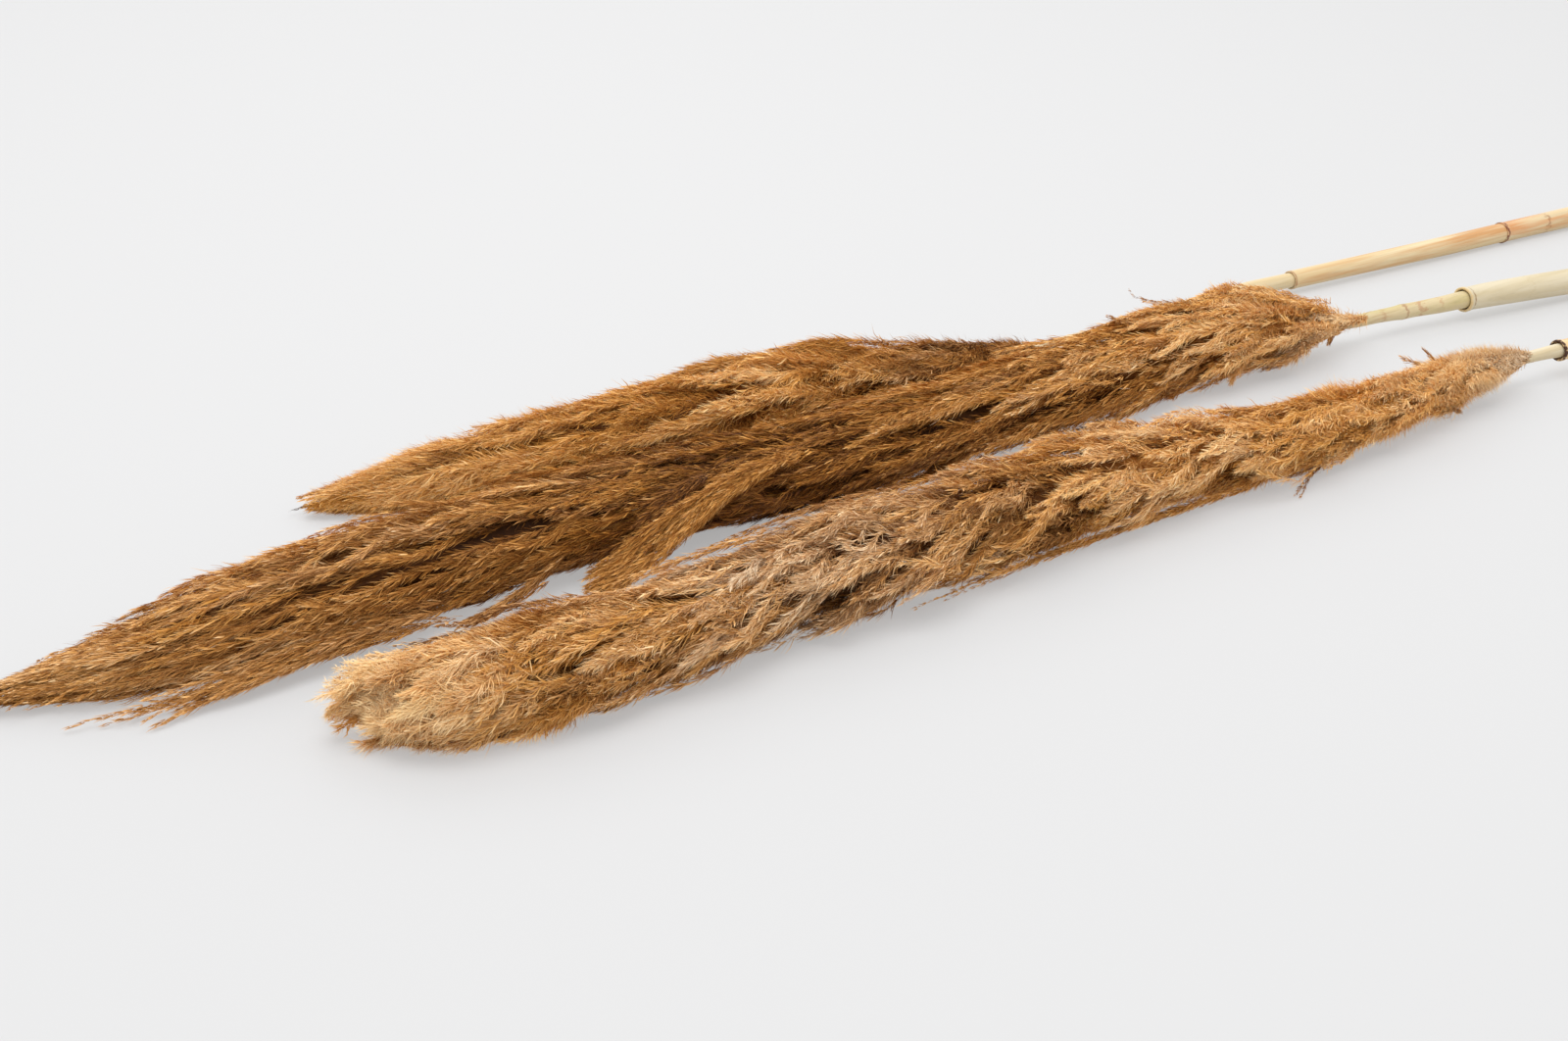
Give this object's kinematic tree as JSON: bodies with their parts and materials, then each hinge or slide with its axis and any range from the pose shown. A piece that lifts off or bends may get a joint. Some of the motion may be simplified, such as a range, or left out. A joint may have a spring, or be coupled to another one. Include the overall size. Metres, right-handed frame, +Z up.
{
  "type": "pampas grass bundle",
  "caption": "Bundle of cut and dried pampas grass lying down: long feathery brown plumes on pale canes wrapped in leaf sheaths",
  "frame": {"origin": "centre of the bundle's bounding box at the surface that it lies on", "axes": "+X towards the cut ends of the canes, plume tips at -X; +Y towards the back stem; +Z up"},
  "size_m": [1.114, 0.243, 0.0426],
  "materials": {
    "cane": "dry, satin, pale straw",
    "sheath": "dry, fibrous, pale cream with tan streaks",
    "back_plume": "soft, matt, golden orange brown hair",
    "middle_plume": "silky, matt, mid brown hair",
    "front_plume": "soft, matt, sandy blond to orange hair"
  },
  "bodies": {
    "root": {"back_base_front_branch": "back_plume", "back_base_rear_branch": "back_plume", "back_base_under_branch": "back_plume", "back_cane": "cane", "back_lower_sheath": "sheath", "back_middle_front_branch": "back_plume", "back_middle_rear_branch": "back_plume", "back_middle_top_branch": "back_plume", "back_tip_front_branch": "back_plume", "back_tip_rear_branch": "back_plume", "back_tip_under_branch": "back_plume", "back_upper_sheath": "sheath", "front_base_front_branch": "front_plume", "front_base_rear_branch": "front_plume", "front_base_under_branch": "front_plume", "front_cane": "cane", "front_lower_front_branch": "front_plume", "front_lower_rear_branch": "front_plume", "front_lower_top_branch": "front_plume", "front_sheath": "sheath", "front_tip_front_branch": "front_plume", "front_tip_rear_branch": "front_plume", "front_tip_top_branch": "front_plume", "front_trailing_branch": "front_plume", "front_upper_front_branch": "front_plume", "front_upper_rear_branch": "front_plume", "front_upper_under_branch": "front_plume", "middle_base_front_branch": "middle_plume", "middle_base_rear_branch": "middle_plume", "middle_base_top_branch": "middle_plume", "middle_cane": "cane", "middle_hanging_branch": "middle_plume", "middle_lower_front_branch": "middle_plume", "middle_lower_rear_branch": "middle_plume", "middle_lower_under_branch": "middle_plume", "middle_sheath": "sheath", "middle_tip_front_branch": "middle_plume", "middle_tip_rear_branch": "middle_plume", "middle_tip_under_branch": "middle_plume", "middle_upper_front_branch": "middle_plume", "middle_upper_rear_branch": "middle_plume", "middle_upper_top_branch": "middle_plume"}
  },
  "joints": []
}
